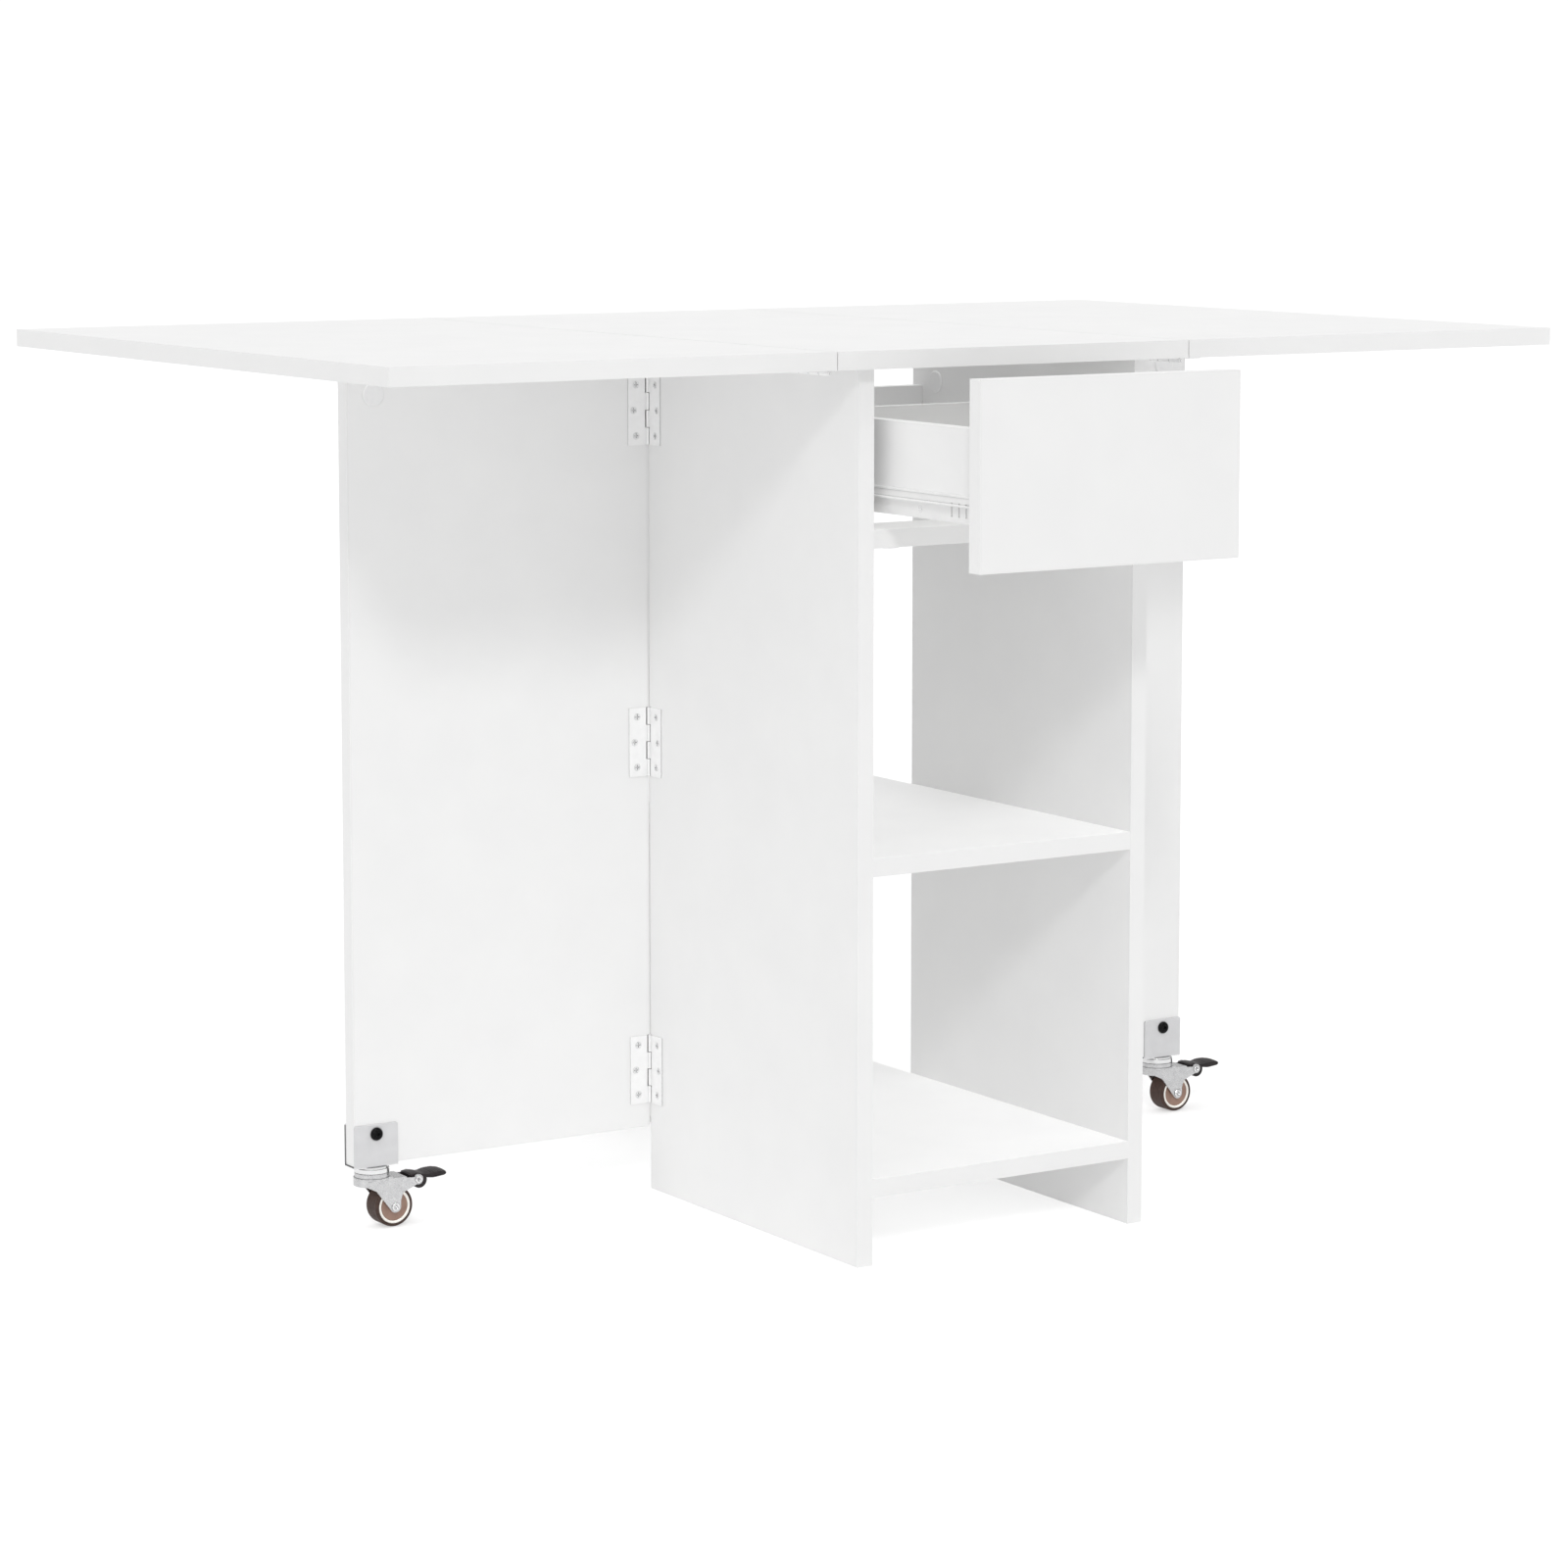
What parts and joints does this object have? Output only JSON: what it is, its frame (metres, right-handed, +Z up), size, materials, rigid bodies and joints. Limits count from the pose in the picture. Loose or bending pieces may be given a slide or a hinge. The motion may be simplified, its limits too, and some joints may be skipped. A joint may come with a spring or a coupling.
{
  "type": "sewing table",
  "caption": "Sewing table with a fixed centre top, two drop leaves on gate legs with braked casters, open shelves and one handle-less drawer on roller runners.",
  "frame": {"origin": "on the floor, at the middle of the bounding box with both leaves up and the drawer out", "axes": "+Z up; the drawer opens toward -Y; +X is the table's long side, to the right seen from the drawer"},
  "size_m": [1.15, 0.83, 0.75],
  "materials": {
    "laminate": "white melamine-faced board, satin, edges banded in the same white",
    "hardboard": "thin hardboard, white lacquer on the upper face",
    "zinc_steel": "bright zinc-plated steel",
    "grey_steel": "light grey stove-enamelled sheet steel",
    "white_steel": "white epoxy-coated rolled steel",
    "black_steel": "black oxide steel",
    "beech": "ribbed beech",
    "cap_plastic": "light grey moulded plastic",
    "nylon": "natural nylon",
    "wheel_plastic": "brown moulded wheel with a dark brown tread and a cream ring",
    "pedal_plastic": "dark brown moulded plastic"
  },
  "bodies": {
    "cabinet": {"centre_top": "laminate", "left_side_panel": "laminate", "right_side_panel": "laminate", "bottom_shelf": "laminate", "middle_shelf": "laminate", "front_rail": "laminate", "rear_rail": "laminate", "rear_panel": "laminate", "cam_locks": "zinc_steel", "cam_bolts": "zinc_steel", "dowels": "beech", "cam_caps": "cap_plastic", "left_cabinet_runner": "white_steel", "right_cabinet_runner": "white_steel", "hinge_fixed_leaves": "zinc_steel", "hinge_pins": "zinc_steel", "cabinet_screws": "zinc_steel"},
    "drawer": {"drawer_front": "laminate", "drawer_left_side": "laminate", "drawer_right_side": "laminate", "drawer_back": "laminate", "drawer_bottom": "hardboard", "drawer_dowels": "beech", "drawer_screws": "zinc_steel", "left_drawer_runner": "white_steel", "right_drawer_runner": "white_steel"},
    "left_leaf": {"left_leaf": "laminate", "left_top_hinge_leaves": "zinc_steel", "left_leaf_screws": "zinc_steel"},
    "right_leaf": {"right_leaf": "laminate", "right_top_hinge_leaves": "zinc_steel", "right_leaf_screws": "zinc_steel"},
    "left_leg": {"left_leg": "laminate", "left_leg_cap": "cap_plastic", "left_leg_hinge_leaves": "zinc_steel", "left_leg_screws": "zinc_steel", "left_caster_bracket": "grey_steel", "left_caster_bolt": "black_steel", "left_caster_kingpin": "zinc_steel", "left_caster_balls": "zinc_steel"},
    "left_caster": {"left_caster_fork": "zinc_steel", "left_caster_rivets": "zinc_steel"},
    "left_wheel": {"left_caster_wheel": "wheel_plastic"},
    "left_pedal": {"left_caster_pedal": "pedal_plastic"},
    "left_front_roller": {"left_front_roller": "nylon"},
    "left_rear_roller": {"left_rear_roller": "nylon"},
    "right_leg": {"right_leg": "laminate", "right_leg_cap": "cap_plastic", "right_leg_hinge_leaves": "zinc_steel", "right_leg_screws": "zinc_steel", "right_caster_bracket": "grey_steel", "right_caster_bolt": "black_steel", "right_caster_kingpin": "zinc_steel", "right_caster_balls": "zinc_steel"},
    "right_caster": {"right_caster_fork": "zinc_steel", "right_caster_rivets": "zinc_steel"},
    "right_wheel": {"right_caster_wheel": "wheel_plastic"},
    "right_pedal": {"right_caster_pedal": "pedal_plastic"},
    "right_front_roller": {"right_front_roller": "nylon"},
    "right_rear_roller": {"right_rear_roller": "nylon"}
  },
  "joints": [
    {"name": "drawer_slide", "type": "slide", "parent": "cabinet", "child": "drawer", "axis": [0, -1, 0], "range_m": [-0.145, 0.07]},
    {"name": "left_leg_hinge", "type": "hinge", "parent": "cabinet", "child": "left_leg", "pos_m": [-0.1455, 0.058, 0.4], "axis": [0, 0, -1], "range_deg": [0, 90]},
    {"name": "right_leg_hinge", "type": "hinge", "parent": "cabinet", "child": "right_leg", "pos_m": [0.1455, 0.058, 0.4], "axis": [0, 0, 1], "range_deg": [0, 90]},
    {"name": "left_leaf_hinge", "type": "hinge", "parent": "cabinet", "child": "left_leaf", "pos_m": [-0.175, 0.065, 0.7324], "axis": [0, 1, 0], "range_deg": [0, 2]},
    {"name": "right_leaf_hinge", "type": "hinge", "parent": "cabinet", "child": "right_leaf", "pos_m": [0.175, 0.065, 0.7324], "axis": [0, -1, 0], "range_deg": [0, 2]},
    {"name": "left_caster_swivel", "type": "hinge", "parent": "left_leg", "child": "left_caster", "pos_m": [-0.4155, 0.066, 0.044], "axis": [0, 0, 1], "continuous": true},
    {"name": "left_wheel_axle", "type": "hinge", "parent": "left_caster", "child": "left_wheel", "pos_m": [-0.399, 0.066, 0.0175], "axis": [0, 1, 0], "continuous": true},
    {"name": "left_brake_pivot", "type": "hinge", "parent": "left_caster", "child": "left_pedal", "pos_m": [-0.377, 0.066, 0.0385], "axis": [0, -1, 0], "range_deg": [0, 15]},
    {"name": "right_caster_swivel", "type": "hinge", "parent": "right_leg", "child": "right_caster", "pos_m": [0.4155, 0.066, 0.044], "axis": [0, 0, 1], "continuous": true},
    {"name": "right_wheel_axle", "type": "hinge", "parent": "right_caster", "child": "right_wheel", "pos_m": [0.432, 0.066, 0.0175], "axis": [0, 1, 0], "continuous": true},
    {"name": "right_brake_pivot", "type": "hinge", "parent": "right_caster", "child": "right_pedal", "pos_m": [0.454, 0.066, 0.0385], "axis": [0, -1, 0], "range_deg": [0, 15]},
    {"name": "left_front_roller_axle", "type": "hinge", "parent": "cabinet", "child": "left_front_roller", "pos_m": [-0.1244, -0.2455, 0.6235], "axis": [1, 0, 0], "continuous": true},
    {"name": "left_rear_roller_axle", "type": "hinge", "parent": "drawer", "child": "left_rear_roller", "pos_m": [-0.1246, -0.138, 0.621], "axis": [1, 0, 0], "continuous": true},
    {"name": "right_front_roller_axle", "type": "hinge", "parent": "cabinet", "child": "right_front_roller", "pos_m": [0.1244, -0.2455, 0.6235], "axis": [1, 0, 0], "continuous": true},
    {"name": "right_rear_roller_axle", "type": "hinge", "parent": "drawer", "child": "right_rear_roller", "pos_m": [0.1246, -0.138, 0.621], "axis": [1, 0, 0], "continuous": true}
  ]
}
